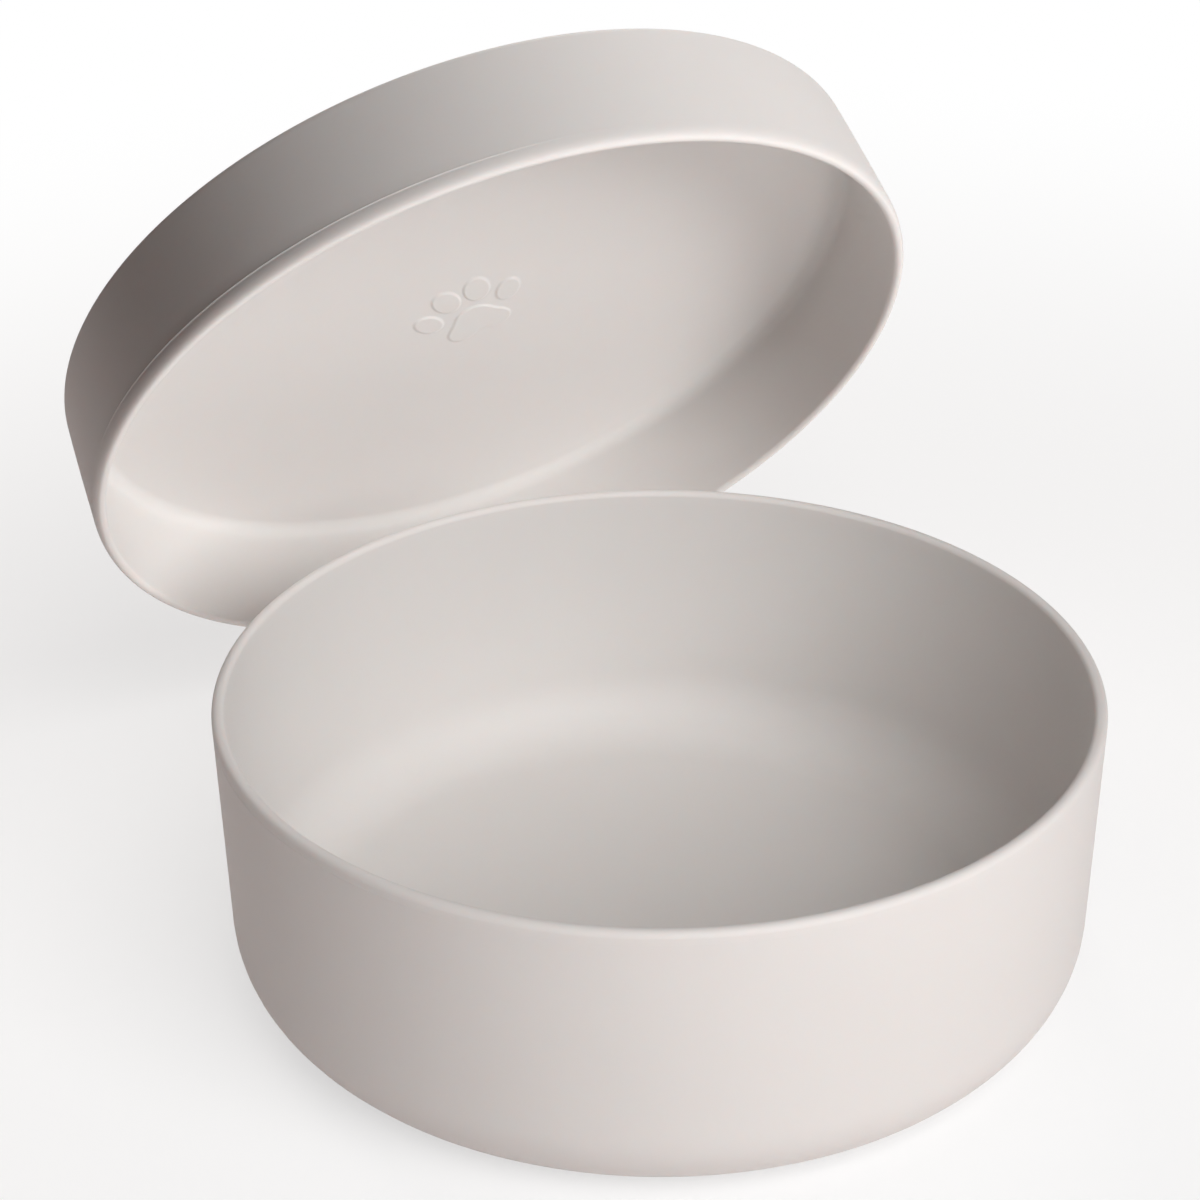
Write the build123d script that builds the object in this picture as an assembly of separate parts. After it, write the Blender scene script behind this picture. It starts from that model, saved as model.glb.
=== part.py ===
from build123d import *
import os
from math import cos, radians, sin, tan

# A round pet bowl and its lid, each one moulding of soft silicone.
# The bowl is a cup with a generous foot round. The lid is a shallower, wider cup that
# goes over the bowl's rim, mouth down. It is off, held up tilted behind the bowl.
# Millimetres and degrees. The origin is the centre of the bowl's underside,
# +Z is up and -Y is the front.

# Bowl
rim_radius = 80.0            # outside of the rim, the bowl's widest place
bowl_height = 56.5
bowl_wall = 2.4
bowl_floor = 2.8
bowl_draft = 1.4             # the wall leans in towards the floor
foot_round = 15.0            # outside, from the wall to the underside

# Lid
seat_clearance = 0.2         # round the bowl's rim, where the lid's skirt is narrowest
skirt_depth = 24.1           # inside, from the mouth to the top plate
skirt_wall = 2.4
top_plate = 2.4
skirt_draft = 4.5            # the skirt opens towards its mouth
skirt_corner_round = 3.2     # inside, between skirt and top plate
skirt_edge_round = 1.6       # outside, between skirt and top plate

# Lip, drawn alike on both pieces: its outer round takes what these leave of the wall
lip_inner_round = 1.05
lip_flat = 0.1

# Moulding ridge, a thin line round the outside of each piece, near its lip
ridge_radius = 0.2
bowl_ridge_below_lip = 2.3
lid_ridge_below_lip = 3.2

# Place of the lid, with its mouth to the front and down
lid_tilt = 55.0              # from level
lid_turn = 26.4              # it leans back to the left of straight behind
low_point_turn = 25.1        # bearing of its lowest point, left of straight behind
low_point_behind_rim = 38.5
low_point_height = 11.8


def outer_radius_at(height, mouth_radius, mouth_height, draft):
    return mouth_radius - (mouth_height - height) * tan(radians(draft))


def thickness_across(wall, draft):
    # a wall measured level, which its draft makes a little more than square to it
    return wall / cos(radians(draft))


def lip_outer_round(wall, draft):
    # the draft makes the lip's outer corner sharper, so a round reaches further along it
    left = thickness_across(wall, draft) - lip_flat - lip_inner_round
    return left / tan(radians(45 + draft / 2))


def round_corner(section, corner, radius):
    nearest = section.vertices().sort_by_distance(Vector(*corner, 0))[0]
    fillet(nearest, radius)


def drafted_cup(
    mouth_radius, height, wall, floor, draft, inner_round, outer_round, ridge_below_lip
):
    # stands on its closed end at zero
    floor_radius = outer_radius_at(floor, mouth_radius, height, draft)
    foot = (outer_radius_at(0, mouth_radius, height, draft), 0)
    floor_corner = (floor_radius - thickness_across(wall, draft), floor)
    lip_outer = (mouth_radius, height)
    lip_inner = (mouth_radius - thickness_across(wall, draft), height)

    ridge_height = height - ridge_below_lip
    ridge_place = (outer_radius_at(ridge_height, mouth_radius, height, draft), ridge_height)

    with BuildPart() as cup:
        with BuildSketch(Plane.XZ) as section:
            with BuildLine():
                Polyline((0, 0), foot, lip_outer, lip_inner, floor_corner, (0, floor), close=True)
            make_face()
            round_corner(section, foot, outer_round)
            round_corner(section, floor_corner, inner_round)
            round_corner(section, lip_outer, lip_outer_round(wall, draft))
            round_corner(section, lip_inner, lip_inner_round)
            with Locations(ridge_place):
                Circle(ridge_radius)
        revolve(axis=Axis.Z)
    return cup.part


def lid_height():
    return skirt_depth + top_plate


def lid_mouth_radius():
    # the skirt is at its seat clearance from the rim at the top plate, and opens from there
    seat_radius = rim_radius + seat_clearance
    mouth_inner = seat_radius + skirt_depth * tan(radians(skirt_draft))
    return mouth_inner + thickness_across(skirt_wall, skirt_draft)


def lid_place():
    # a plane on the lid's closed end, whose normal comes out of the lid's mouth
    turn = radians(lid_turn)
    tilt = radians(lid_tilt)
    bearing = radians(low_point_turn)
    to_closed_end = Vector(-sin(turn) * sin(tilt), cos(turn) * sin(tilt), cos(tilt))
    up_mouth = Vector(sin(turn) * cos(tilt), -cos(turn) * cos(tilt), sin(tilt))

    low_radius = rim_radius + low_point_behind_rim
    low_point = Vector(-sin(bearing) * low_radius, cos(bearing) * low_radius, low_point_height)
    mouth_centre = low_point + up_mouth * lid_mouth_radius()
    closed_centre = mouth_centre + to_closed_end * lid_height()
    return Plane(origin=closed_centre, x_dir=up_mouth.cross(to_closed_end), z_dir=-to_closed_end)


bowl = drafted_cup(
    rim_radius,
    bowl_height,
    bowl_wall,
    bowl_floor,
    bowl_draft,
    foot_round - bowl_wall,
    foot_round,
    bowl_ridge_below_lip,
)
upright_lid = drafted_cup(
    lid_mouth_radius(),
    lid_height(),
    skirt_wall,
    top_plate,
    skirt_draft,
    skirt_corner_round,
    skirt_edge_round,
    lid_ridge_below_lip,
)
lid = lid_place().location * upright_lid

os.makedirs("parts", exist_ok=True)
export_step(bowl, "parts/bowl.step")
export_step(lid, "parts/lid.step")
print("lid mouth radius", round(lid_mouth_radius(), 2))
print("lid box", lid.bounding_box())
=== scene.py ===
from math import cos, hypot, pi, radians, sin, tan

import bpy
from mathutils import Matrix, Vector


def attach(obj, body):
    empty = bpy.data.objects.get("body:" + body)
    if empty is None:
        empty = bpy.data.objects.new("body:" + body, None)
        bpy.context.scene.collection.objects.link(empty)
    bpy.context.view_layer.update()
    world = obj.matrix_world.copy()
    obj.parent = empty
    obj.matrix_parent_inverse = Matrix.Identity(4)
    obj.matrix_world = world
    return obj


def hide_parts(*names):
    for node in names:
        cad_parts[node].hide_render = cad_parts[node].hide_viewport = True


# A soft silicone bowl and its lid. Both are turned from a drawn section by one
# geometry node tree, then put where the frame has them. Metres, +Z up, front to -Y.

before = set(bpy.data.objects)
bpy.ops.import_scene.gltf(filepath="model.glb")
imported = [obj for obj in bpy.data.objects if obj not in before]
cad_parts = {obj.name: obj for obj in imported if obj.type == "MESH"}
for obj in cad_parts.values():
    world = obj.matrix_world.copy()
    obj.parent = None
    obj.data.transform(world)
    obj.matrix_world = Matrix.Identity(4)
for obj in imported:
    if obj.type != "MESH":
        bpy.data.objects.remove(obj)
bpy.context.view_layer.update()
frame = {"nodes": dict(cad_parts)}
mm = 0.001
print("frame loaded:", ", ".join(frame["nodes"]))


# Camera

viewpoint = {
    "place": Vector((0.0, -0.4441, 0.3074)),
    "lookDown": 0.486,          # radians below level
    "lookRight": -0.0233,       # radians from straight back
    "roll": -0.0095,
    "lens": 85.0,
    "sensor": 36.0,
    "nearest": 0.01,
    "farthest": 50.0,
}


def makeCamera(view):
    lens = bpy.data.cameras.new("camera")
    lens.lens = view["lens"]
    lens.sensor_width = view["sensor"]
    lens.clip_start = view["nearest"]
    lens.clip_end = view["farthest"]
    camera = bpy.data.objects.new("camera", lens)
    turn = Matrix.Rotation(-view["lookRight"], 4, "Z")
    tip = Matrix.Rotation(pi / 2 - view["lookDown"], 4, "X")
    roll = Matrix.Rotation(view["roll"], 4, "Z")
    camera.matrix_world = Matrix.Translation(view["place"]) @ turn @ tip @ roll
    bpy.context.collection.objects.link(camera)
    bpy.context.scene.camera = camera


makeCamera(viewpoint)
print("camera placed")


# Node helpers, for materials and for the geometry tree

def addNode(tree, kind, settings=None, inputs=None):
    node = tree.nodes.new(kind)
    for name, value in (settings or {}).items():
        setattr(node, name, value)
    for name, value in (inputs or {}).items():
        if isinstance(value, bpy.types.NodeSocket):
            tree.links.new(value, node.inputs[name])
        else:
            node.inputs[name].default_value = value
    return node


def calc(tree, operation, *values):
    node = addNode(tree, "ShaderNodeMath", {"operation": operation}, dict(enumerate(values)))
    return node.outputs[0]


# Silicone, shared by both pieces

siliconeFinish = {
    "color": (0.692, 0.669, 0.651),
    "paler": (0.708, 0.685, 0.667),
    "mottleSize": 30.0 * mm,
    "mottleDetail": 4.0,
    "grainSize": 0.22 * mm,
    "grainDetail": 2.0,
    "grainDepth": 0.010 * mm,
    "ripplesSize": 22.0 * mm,
    "ripplesDetail": 1.0,
    "ripplesDepth": 0.05 * mm,
    "roughness": (0.52, 0.62),
    "sheen": 0.12,
    "sheenRoughness": 0.45,
    "bending": 1.41,            # index of refraction
    "through": 0.35,            # light that spreads under the surface
    "throughReach": 1.8 * mm,
    "throughByColor": (1.0, 0.62, 0.5),
}


def makeSilicone(finish):
    material = bpy.data.materials.new("silicone")
    material.use_nodes = True
    tree = material.node_tree
    tree.nodes.clear()
    place = addNode(tree, "ShaderNodeTexCoord").outputs["Object"]

    def noise(size, detail):
        sizes = {"Vector": place, "Scale": 1.0 / size, "Detail": detail, "Roughness": 0.5}
        return addNode(tree, "ShaderNodeTexNoise", None, sizes).outputs["Fac"]

    def bump(height, depth):
        return addNode(tree, "ShaderNodeBump", None, {"Height": height, "Distance": depth})

    mottle = noise(finish["mottleSize"], finish["mottleDetail"])
    grain = noise(finish["grainSize"], finish["grainDetail"])
    ripples = noise(finish["ripplesSize"], finish["ripplesDetail"])

    color = addNode(tree, "ShaderNodeMix", {"data_type": "RGBA"})
    tree.links.new(mottle, color.inputs["Factor"])
    color.inputs["A"].default_value = (*finish["color"], 1.0)
    color.inputs["B"].default_value = (*finish["paler"], 1.0)

    low, high = finish["roughness"]
    rough = addNode(tree, "ShaderNodeMapRange", None, {
        "Value": grain,
        "To Min": low,
        "To Max": high,
    })

    deep = bump(ripples, finish["ripplesDepth"])
    fine = bump(grain, finish["grainDepth"])
    tree.links.new(deep.outputs["Normal"], fine.inputs["Normal"])

    shader = addNode(tree, "ShaderNodeBsdfPrincipled", None, {
        "Base Color": color.outputs["Result"],
        "Roughness": rough.outputs["Result"],
        "Normal": fine.outputs["Normal"],
        "IOR": finish["bending"],
        "Sheen Weight": finish["sheen"],
        "Sheen Roughness": finish["sheenRoughness"],
        "Subsurface Weight": finish["through"],
        "Subsurface Radius": finish["throughByColor"],
        "Subsurface Scale": finish["throughReach"],
    })
    addNode(tree, "ShaderNodeOutputMaterial", None, {"Surface": shader.outputs["BSDF"]})
    return material


silicone = makeSilicone(siliconeFinish)
print("silicone mixed")


# The turning tree: a drawn section goes round the axis and becomes a closed skin

def makeTurningTree():
    tree = bpy.data.node_groups.new("turnSection", "GeometryNodeTree")
    sockets = tree.interface
    sockets.new_socket("Geometry", in_out="INPUT", socket_type="NodeSocketGeometry")
    for name, kind in turningInputs.items():
        sockets.new_socket(name, in_out="INPUT", socket_type="NodeSocket" + kind)
    sockets.new_socket("Geometry", in_out="OUTPUT", socket_type="NodeSocketGeometry")
    given = addNode(tree, "NodeGroupInput").outputs

    def attribute(name, kind):
        node = addNode(tree, "GeometryNodeInputNamedAttribute", {"data_type": kind}, {"Name": name})
        return node.outputs["Attribute"]

    # corners of the section are rounded, then its long runs are divided
    drawn = addNode(tree, "GeometryNodeMeshToCurve", None, {"Mesh": given["Geometry"]})
    rounded = addNode(tree, "GeometryNodeFilletCurve", {"mode": "POLY"}, {
        "Curve": drawn.outputs["Curve"],
        "Count": given["Corner Steps"],
        "Radius": attribute("rounding", "FLOAT"),
    })
    divided = addNode(tree, "GeometryNodeSubdivideCurve", None, {
        "Curve": rounded.outputs["Curve"],
        "Cuts": attribute("cuts", "INT"),
    })

    # the section stands on a small circle and goes round it
    circle = addNode(tree, "GeometryNodeCurvePrimitiveCircle", None, {
        "Resolution": given["Steps Around"],
        "Radius": given["Path Radius"],
    })
    turned = addNode(tree, "GeometryNodeCurveToMesh", None, {
        "Curve": circle.outputs["Curve"],
        "Profile Curve": divided.outputs["Curve"],
    })

    # distance from the axis and bearing of each point
    position = addNode(tree, "GeometryNodeInputPosition").outputs["Position"]
    split = addNode(tree, "ShaderNodeSeparateXYZ", None, {"Vector": position}).outputs
    xSquared = calc(tree, "MULTIPLY", split["X"], split["X"])
    ySquared = calc(tree, "MULTIPLY", split["Y"], split["Y"])
    fromAxis = calc(tree, "SQRT", calc(tree, "ADD", xSquared, ySquared))
    bearing = calc(tree, "ARCTAN2", split["Y"], split["X"])
    less = {"data_type": "FLOAT", "operation": "LESS_THAN"}
    onAxis = addNode(tree, "FunctionNodeCompare", less, {"A": fromAxis, "B": given["Pole Reach"]})
    closed = addNode(tree, "GeometryNodeMergeByDistance", None, {
        "Geometry": turned.outputs["Mesh"],
        "Selection": onAxis.outputs["Result"],
        "Distance": given["Pole Reach"],
    })

    # the moulding ridge stands out where it didn't wear off the mould
    swing = calc(tree, "SUBTRACT", bearing, given["Ridge Bearing"])
    nearness = calc(tree, "COSINE", swing)
    ridgeShare = addNode(tree, "ShaderNodeMapRange", {"interpolation_type": "SMOOTHSTEP"}, {
        "Value": nearness,
        "From Min": given["Ridge Ends"],
        "From Max": given["Ridge Full"],
        "To Min": given["Ridge Elsewhere"],
        "To Max": 1.0,
    }).outputs["Result"]
    ridgeHere = calc(tree, "MULTIPLY", attribute("ridge", "FLOAT"), ridgeShare)
    ridge = calc(tree, "MULTIPLY", ridgeHere, given["Ridge Height"])

    # the soft wall is a little out of round, most at its lip
    towardsLip = 1.5
    share = calc(tree, "DIVIDE", split["Z"], given["Height"])
    ease = calc(tree, "POWER", calc(tree, "MAXIMUM", share, 0.0), towardsLip)

    def wave(start, folds, size):
        fromStart = calc(tree, "SUBTRACT", bearing, given[start])
        height = calc(tree, "COSINE", calc(tree, "MULTIPLY", fromStart, folds))
        return calc(tree, "MULTIPLY", height, given[size])

    oval = wave("Oval Bearing", 2.0, "Oval")
    lobes = wave("Lobe Bearing", 3.0, "Lobes")
    wander = calc(tree, "ADD", oval, lobes)
    outwards = calc(tree, "ADD", ridge, calc(tree, "MULTIPLY", wander, ease))
    level = addNode(tree, "ShaderNodeCombineXYZ", None, {"X": split["X"], "Y": split["Y"]})
    away = addNode(tree, "ShaderNodeVectorMath", {"operation": "NORMALIZE"}, {
        0: level.outputs["Vector"],
    })
    move = addNode(tree, "ShaderNodeVectorMath", {"operation": "SCALE"}, {
        0: away.outputs["Vector"],
        "Scale": outwards,
    })
    shaped = addNode(tree, "GeometryNodeSetPosition", None, {
        "Geometry": closed.outputs["Geometry"],
        "Offset": move.outputs["Vector"],
    })

    outside = addNode(tree, "GeometryNodeFlipFaces", None, {"Mesh": shaped.outputs["Geometry"]})
    smooth = addNode(tree, "GeometryNodeSetShadeSmooth", None, {
        "Geometry": outside.outputs["Mesh"],
    })
    real = addNode(tree, "GeometryNodeRealizeInstances", None, {
        "Geometry": smooth.outputs["Geometry"],
    })
    finished = addNode(tree, "GeometryNodeSetMaterial", None, {
        "Geometry": real.outputs["Geometry"],
        "Material": given["Material"],
    })
    addNode(tree, "NodeGroupOutput", None, {"Geometry": finished.outputs["Geometry"]})
    return tree


turningInputs = {
    "Height": "Float",
    "Path Radius": "Float",
    "Pole Reach": "Float",
    "Steps Around": "Int",
    "Corner Steps": "Int",
    "Ridge Height": "Float",
    "Ridge Bearing": "Float",
    "Ridge Ends": "Float",
    "Ridge Full": "Float",
    "Ridge Elsewhere": "Float",
    "Oval": "Float",
    "Oval Bearing": "Float",
    "Lobes": "Float",
    "Lobe Bearing": "Float",
    "Material": "Material",
}
turningTree = makeTurningTree()
print("turning tree built")


# Sections

def wallRadius(cup, height):
    return cup["mouthRadius"] - (cup["height"] - height) * tan(cup["draft"])


def drawSection(cup):
    # (from the axis, height, rounding, cuts in the run that follows, share of the ridge)
    wall = cup["wall"] / cos(cup["draft"])
    top = cup["height"]
    foot = wallRadius(cup, 0)
    floorEnd = wallRadius(cup, cup["floor"]) - wall
    lipDepth = wall - cup["lipFlat"] - cup["lipInnerRound"]
    ridgeHeight = top - cup["ridgeDrop"]
    belowRidge = ridgeHeight - cup["ridgeWidth"]
    aboveRidge = ridgeHeight + cup["ridgeWidth"]
    spare = cup["roundingSpare"]
    outerTop = cup["footRound"] + spare
    innerTop = cup["floor"] + cup["floorRound"] + spare

    section = [
        (0.0, 0.0, 0.0, cup["discCuts"], 0.0),
        (foot - cup["footRound"] - spare, 0.0, 0.0, 0, 0.0),
        (foot, 0.0, cup["footRound"], 0, 0.0),
        (wallRadius(cup, outerTop), outerTop, 0.0, cup["wallCuts"], 0.0),
    ]
    for step in range(cup["ridgeSteps"] + 1):
        along = step / cup["ridgeSteps"]
        height = belowRidge + (aboveRidge - belowRidge) * along
        section.append((wallRadius(cup, height), height, 0.0, 0, sin(pi * along) ** 2))
    for step in range(cup["cornerSteps"] + 1):
        turned = pi / 2 * step / cup["cornerSteps"]
        height = top - cup["lipRise"] * (1 - sin(turned))
        across = wallRadius(cup, height) - lipDepth * (1 - cos(turned))
        section.append((across, height, 0.0, 0, 0.0))
    section += [
        (wallRadius(cup, top) - wall, top, cup["lipInnerRound"], 0, 0.0),
        (wallRadius(cup, belowRidge) - wall, belowRidge, 0.0, cup["wallCuts"], 0.0),
        (wallRadius(cup, innerTop) - wall, innerTop, 0.0, 0, 0.0),
        (floorEnd, cup["floor"], cup["floorRound"], 0, 0.0),
        (floorEnd - cup["floorRound"] - spare, cup["floor"], 0.0, cup["discCuts"], 0.0),
        (cup["fineReach"], cup["floor"], 0.0, cup["fineCuts"], 0.0),
        (cup["fineStart"], cup["floor"], 0.0, 0, 0.0),
        (0.0, cup["floor"], 0.0, 0, 0.0),
    ]
    return section


def turnCup(name, cup):
    section = drawSection(cup)
    drawing = bpy.data.meshes.new(name + "Section")
    points = [(row[0] - cup["pathRadius"], -row[1], 0.0) for row in section]
    drawing.from_pydata(points, [(i, i + 1) for i in range(len(points) - 1)], [])
    columns = ((2, "rounding", "FLOAT"), (3, "cuts", "INT"), (4, "ridge", "FLOAT"))
    for column, label, kind in columns:
        attribute = drawing.attributes.new(label, kind, "POINT")
        attribute.data.foreach_set("value", [row[column] for row in section])
    draft = bpy.data.objects.new(name + "Draft", drawing)
    bpy.context.collection.objects.link(draft)

    turning = draft.modifiers.new("turning", "NODES")
    turning.node_group = turningTree
    values = {
        "Height": cup["height"],
        "Path Radius": cup["pathRadius"],
        "Pole Reach": cup["poleReach"],
        "Steps Around": cup["stepsAround"],
        "Corner Steps": cup["cornerSteps"],
        "Ridge Height": cup["ridgeHeight"],
        "Ridge Bearing": cup["ridgeBearing"],
        "Ridge Ends": cos(cup["ridgeHalfArc"]),
        "Ridge Full": cos(cup["ridgeHalfArc"] - cup["ridgeFade"]),
        "Ridge Elsewhere": cup["ridgeElsewhere"],
        "Oval": cup["oval"],
        "Oval Bearing": cup["ovalBearing"],
        "Lobes": cup["lobes"],
        "Lobe Bearing": cup["lobeBearing"],
        "Material": silicone,
    }
    for socket in turningTree.interface.items_tree:
        if socket.in_out == "INPUT" and socket.name in values:
            turning[socket.identifier] = values[socket.name]
    graph = bpy.context.evaluated_depsgraph_get()
    mesh = bpy.data.meshes.new_from_object(draft.evaluated_get(graph))
    bpy.data.objects.remove(draft)
    piece = bpy.data.objects.new(name, mesh)
    bpy.context.collection.objects.link(piece)
    return piece


# Bowl

bowl = {
    "mouthRadius": 80.0 * mm,
    "height": 56.5 * mm,
    "wall": 2.4 * mm,
    "floor": 2.8 * mm,
    "draft": radians(1.4),
    "footRound": 15.0 * mm,
    "floorRound": 12.6 * mm,
    "lipInnerRound": 1.05 * mm,
    "lipFlat": 0.1 * mm,
    "lipRise": 1.27 * mm,       # height of the lip's outer round
    "ridgeDrop": 2.3 * mm,
    "ridgeWidth": 0.22 * mm,
    "ridgeHeight": 0.08 * mm,
    "ridgeSteps": 8,
    "ridgeBearing": radians(218),
    "ridgeHalfArc": radians(30),
    "ridgeFade": radians(18),
    "ridgeElsewhere": 0.15,
    "oval": 0.0 * mm,
    "ovalBearing": 0.0,
    "lobes": 0.0 * mm,
    "lobeBearing": 0.0,
    "roundingSpare": 0.4 * mm,
    "pathRadius": 40.0 * mm,    # of the circle that carries the section
    "fineReach": 8.0 * mm,      # a finer patch in the middle, which the lid's mark needs
    "fineStart": 1.0 * mm,
    "poleReach": 0.25 * mm,     # points nearer the axis than this become one
    "fineCuts": 3,
    "discCuts": 8,
    "wallCuts": 14,
    "cornerSteps": 12,
    "stepsAround": 288,
}


bowlShell = turnCup("bowlShell", bowl)
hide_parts("bowl")
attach(bowlShell, "bowl_body")
print("bowl turned:", len(bowlShell.data.polygons), "faces")


# Lid

lid = dict(bowl)
lid.update({
    "mouthRadius": 84.5 * mm,
    "height": 26.5 * mm,
    "floor": 2.4 * mm,
    "draft": radians(4.5),
    "footRound": 1.6 * mm,
    "floorRound": 3.2 * mm,
    "lipRise": 2.8 * mm,            # it starts at the ridge
    "ridgeDrop": 3.2 * mm,
    "ridgeWidth": 0.3 * mm,
    "ridgeHeight": 0.13 * mm,
    "ridgeBearing": radians(315),
    "ridgeHalfArc": radians(42),
    "ridgeFade": radians(20),
    "oval": 0.95 * mm,
    "ovalBearing": radians(-62),
    "lobes": 0.3 * mm,
    "lobeBearing": radians(-20),
    "fineReach": 16.0 * mm,
    "fineCuts": 70,
    "wallCuts": 8,
    "discCuts": 14,
    "stepsAround": 384,
    "tilt": radians(55.0),          # from level
    "turn": radians(26.4),          # it leans back to the left of straight behind
    "lowPointBearing": radians(25.1),
    "lowPointRadius": 118.5 * mm,
    "lowPointHeight": 11.8 * mm,
})


def lidPlace(cup):
    turn = cup["turn"]
    tilt = cup["tilt"]
    bearing = cup["lowPointBearing"]
    toClosedEnd = Vector((-sin(turn) * sin(tilt), cos(turn) * sin(tilt), cos(tilt)))
    upMouth = Vector((sin(turn) * cos(tilt), -cos(turn) * cos(tilt), sin(tilt)))
    across = upMouth.cross(toClosedEnd)
    low = Vector((-sin(bearing), cos(bearing), 0.0)) * cup["lowPointRadius"]
    low.z = cup["lowPointHeight"]
    closedCentre = low + upMouth * cup["mouthRadius"] + toClosedEnd * cup["height"]
    axes = Matrix((across, -toClosedEnd.cross(across), -toClosedEnd)).transposed().to_4x4()
    return Matrix.Translation(closedCentre) @ axes


# A paw print stands a little proud of the lid's inner disc.
# Its pads are placed in mm from the print's middle, with the toes up.

pawPrint = {
    "rise": 0.28 * mm,
    "edge": 0.6,                    # mm over which a pad rises
    "up": radians(-61.5),           # bearing of the toes on the disc
    "toes": [
        {"at": (-8.7, 1.9), "across": 2.5, "along": 3.7, "lean": radians(24)},
        {"at": (-3.3, 7.0), "across": 2.7, "along": 4.2, "lean": radians(7)},
        {"at": (3.3, 7.0), "across": 2.7, "along": 4.2, "lean": radians(-7)},
        {"at": (8.7, 1.9), "across": 2.5, "along": 3.7, "lean": radians(-24)},
    ],
    "heel": [
        {"at": (0.0, -3.0), "across": 4.2},
        {"at": (-3.8, -6.6), "across": 3.0},
        {"at": (3.8, -6.6), "across": 3.0},
    ],
    "heelBlend": 3.0,               # mm over which the heel's rounds run together
}


def beyondToe(toe, x, y):
    fromX = x - toe["at"][0]
    fromY = y - toe["at"][1]
    across = fromX * cos(toe["lean"]) + fromY * sin(toe["lean"])
    along = fromY * cos(toe["lean"]) - fromX * sin(toe["lean"])
    return (hypot(across / toe["across"], along / toe["along"]) - 1) * toe["across"]


def beyondHeel(mark, x, y):
    blend = mark["heelBlend"]
    gaps = [hypot(x - pad["at"][0], y - pad["at"][1]) - pad["across"] for pad in mark["heel"]]
    nearest = gaps[0]
    for gap in gaps[1:]:
        overlap = max(blend - abs(nearest - gap), 0.0) / blend
        nearest = min(nearest, gap) - overlap * overlap * blend / 4
    return nearest


def raiseMark(piece, cup, mark):
    right = mark["up"] - pi / 2
    for point in piece.data.vertices:
        fromMiddle = hypot(point.co.x, point.co.y)
        if fromMiddle > cup["fineReach"] or abs(point.co.z - cup["floor"]) > mark["rise"]:
            continue
        x = (point.co.x * cos(right) + point.co.y * sin(right)) / mm
        y = (point.co.x * cos(mark["up"]) + point.co.y * sin(mark["up"])) / mm
        beyond = min([beyondToe(toe, x, y) for toe in mark["toes"]] + [beyondHeel(mark, x, y)])
        inside = min(max(0.5 - beyond / mark["edge"], 0.0), 1.0)
        point.co.z += mark["rise"] * inside * inside * (3 - 2 * inside)


lidShell = turnCup("lidShell", lid)
raiseMark(lidShell, lid, pawPrint)
lidShell.data.transform(lidPlace(lid))
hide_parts("lid")
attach(lidShell, "lid_body")
print("lid turned:", len(lidShell.data.polygons), "faces")


# Floor

white = (1.0, 1.0, 1.0)
floorFinish = {
    "color": (0.90, 0.85, 0.84),    # warm white paper, as the light bounces off it
    "seenColor": (0.95, 0.95, 0.95),
    "half": 6.0,
    "below": 0.2 * mm,              # under the bowl, so that the two don't touch
    "shadowNear": 0.16,             # from the middle, metres, where the floor starts to clear
    "shadowFar": 0.55,
    "shadowShare": 0.6,
}


def makeFloor(finish):
    half = finish["half"]
    mesh = bpy.data.meshes.new("floor")
    corners = [(-half, -half, 0.0), (half, -half, 0.0), (half, half, 0.0), (-half, half, 0.0)]
    mesh.from_pydata(corners, [], [(0, 1, 2, 3)])
    floor = bpy.data.objects.new("floor", mesh)
    floor.location.z = -finish["below"]
    bpy.context.collection.objects.link(floor)

    material = bpy.data.materials.new("floorPaper")
    material.use_nodes = True
    tree = material.node_tree
    tree.nodes.clear()
    seen = addNode(tree, "ShaderNodeLightPath").outputs["Is Camera Ray"]
    color = addNode(tree, "ShaderNodeMix", {"data_type": "RGBA"})
    tree.links.new(seen, color.inputs["Factor"])
    color.inputs["A"].default_value = (*finish["color"], 1.0)
    color.inputs["B"].default_value = (*finish["seenColor"], 1.0)
    paper = addNode(tree, "ShaderNodeBsdfDiffuse", None, {"Color": color.outputs["Result"]})
    clear = addNode(tree, "ShaderNodeEmission", None, {"Color": (*white, 1.0), "Strength": 1.0})

    # white where the camera sees it, but for the object's own shadow
    place = addNode(tree, "ShaderNodeTexCoord").outputs["Object"]
    away = addNode(tree, "ShaderNodeVectorMath", {"operation": "LENGTH"}, {0: place})
    reach = addNode(tree, "ShaderNodeMapRange", {"interpolation_type": "SMOOTHSTEP"}, {
        "Value": away.outputs["Value"],
        "From Min": finish["shadowNear"],
        "From Max": finish["shadowFar"],
        "To Min": finish["shadowShare"],
        "To Max": 1.0,
    }).outputs["Result"]
    mix = addNode(tree, "ShaderNodeMixShader", None, {
        0: calc(tree, "MULTIPLY", seen, reach),
        1: paper.outputs["BSDF"],
        2: clear.outputs["Emission"],
    })
    addNode(tree, "ShaderNodeOutputMaterial", None, {"Surface": mix.outputs["Shader"]})
    mesh.materials.append(material)
    return floor


paperFloor = makeFloor(floorFinish)


# Light

# The bowl and the lid have a key and a back lamp each. One more, low in front like a
# white card, lights the lid's inner disc. Neither the bowl nor the floor shades that one.
# Bearings and heights are in degrees, sizes in metres and powers in watts.

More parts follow.
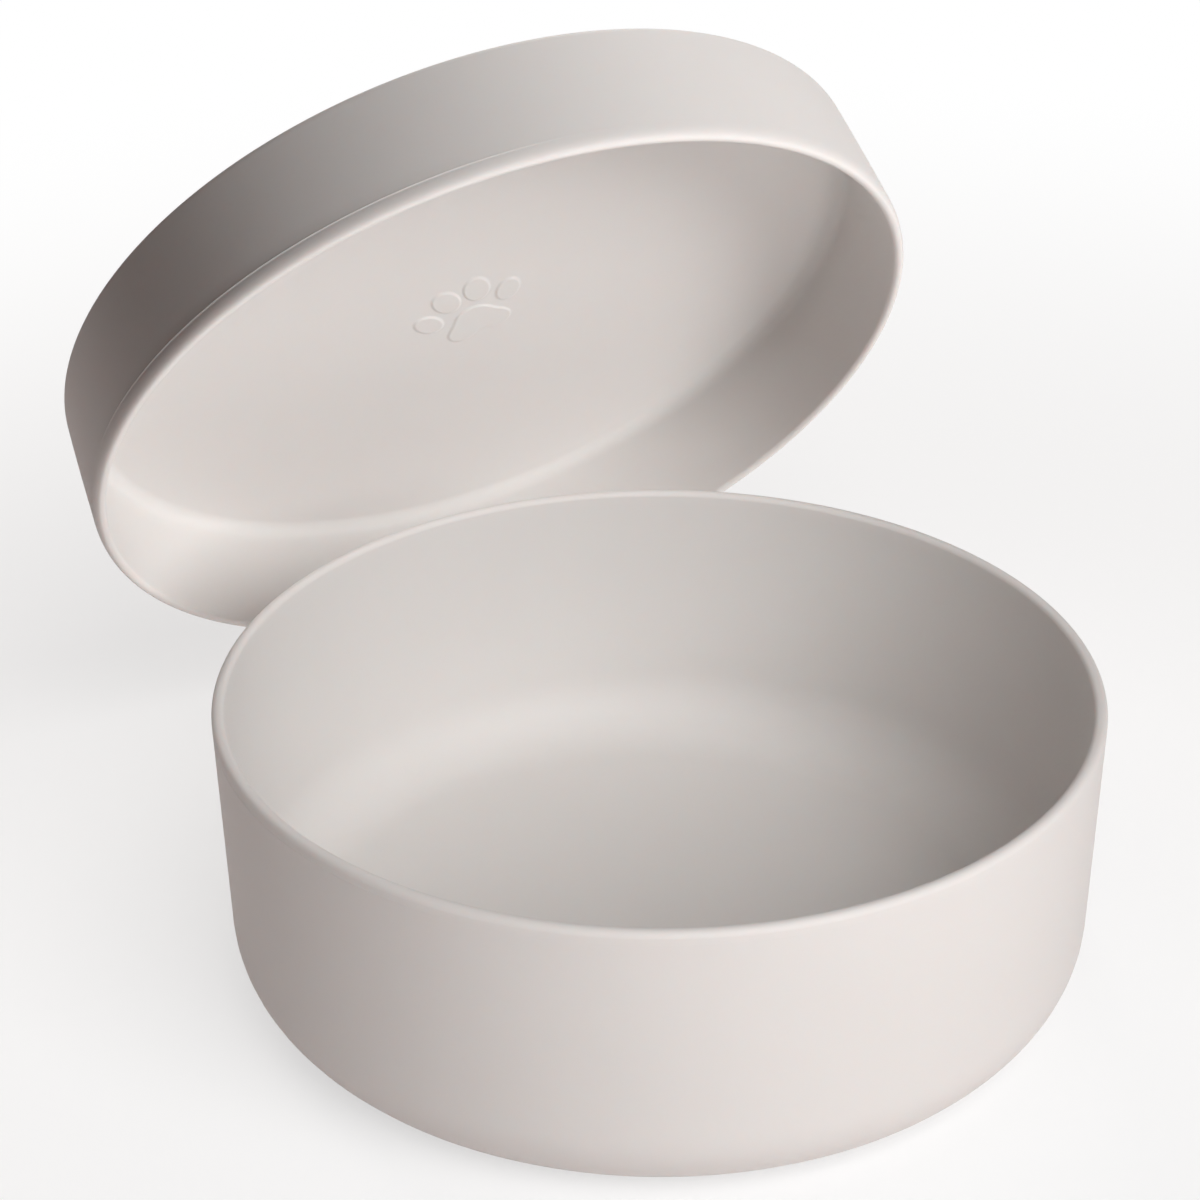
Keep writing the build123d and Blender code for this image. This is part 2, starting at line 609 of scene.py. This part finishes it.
lamps = {
    "bowlKey": {
        "bearing": 32,
        "above": 35,
        "size": 0.8,
        "power": 9.8,
        "color": white,
        "lights": [bowlShell, paperFloor],
    },
    "lidKey": {
        "bearing": 52,
        "above": 27,
        "size": 0.4,
        "power": 8.2,
        "color": white,
        "lights": [lidShell],
    },
    "lidCard": {
        "bearing": 36,
        "above": -30,
        "size": 0.4,
        "power": 2.5,
        "color": white,
        "lights": [lidShell],
        "shadedBy": [lidShell],
    },
    "bowlBack": {
        "bearing": 205,
        "above": 25,
        "size": 0.8,
        "power": 6.1,
        "color": (1.0, 0.95, 0.92),
        "lights": [bowlShell, paperFloor],
    },
    "lidBack": {
        "bearing": 180,
        "above": 40,
        "size": 0.6,
        "power": 5.6,
        "color": (1.0, 0.97, 0.95),
        "lights": [lidShell],
    },
}
studio = {
    "aim": Vector((-0.02, 0.04, 0.07)),
    "away": 0.95,               # from the aim to each lamp
    "sky": (1.0, 0.62, 0.50),
    "skyLevel": 0.035,
}


def chosenPieces(name, pieces):
    chosen = bpy.data.collections.new(name)
    for piece in pieces:
        chosen.objects.link(piece)
    return chosen


def makeLamps():
    # a bearing goes from the front, 0, round to the right, 90
    for name, lamp in lamps.items():
        light = bpy.data.lights.new(name, "AREA")
        light.shape = "SQUARE"
        light.size = lamp["size"]
        light.energy = lamp["power"]
        light.color = lamp["color"]
        bearing = radians(lamp["bearing"])
        above = radians(lamp["above"])
        outwards = Vector((sin(bearing) * cos(above), -cos(bearing) * cos(above), sin(above)))
        holder = bpy.data.objects.new(name, light)
        holder.location = studio["aim"] + outwards * studio["away"]
        holder.rotation_euler = outwards.to_track_quat("Z", "Y").to_euler()
        bpy.context.collection.objects.link(holder)
        linking = holder.light_linking
        linking.receiver_collection = chosenPieces(name + "Lights", lamp["lights"])
        if "shadedBy" in lamp:
            linking.blocker_collection = chosenPieces(name + "Shade", lamp["shadedBy"])


def makeSky():
    world = bpy.data.worlds.new("sky")
    world.use_nodes = True
    tree = world.node_tree
    tree.nodes.clear()

    def background(color, strength):
        values = {"Color": (*color, 1.0), "Strength": strength}
        return addNode(tree, "ShaderNodeBackground", None, values).outputs["Background"]

    mix = addNode(tree, "ShaderNodeMixShader", None, {
        0: addNode(tree, "ShaderNodeLightPath").outputs["Is Camera Ray"],
        1: background(studio["sky"], studio["skyLevel"]),
        2: background(white, 1.0),
    })
    addNode(tree, "ShaderNodeOutputWorld", None, {"Surface": mix.outputs["Shader"]})
    bpy.context.scene.world = world


makeLamps()
makeSky()
bpy.context.scene.view_settings.view_transform = "Standard"
print("studio lit")
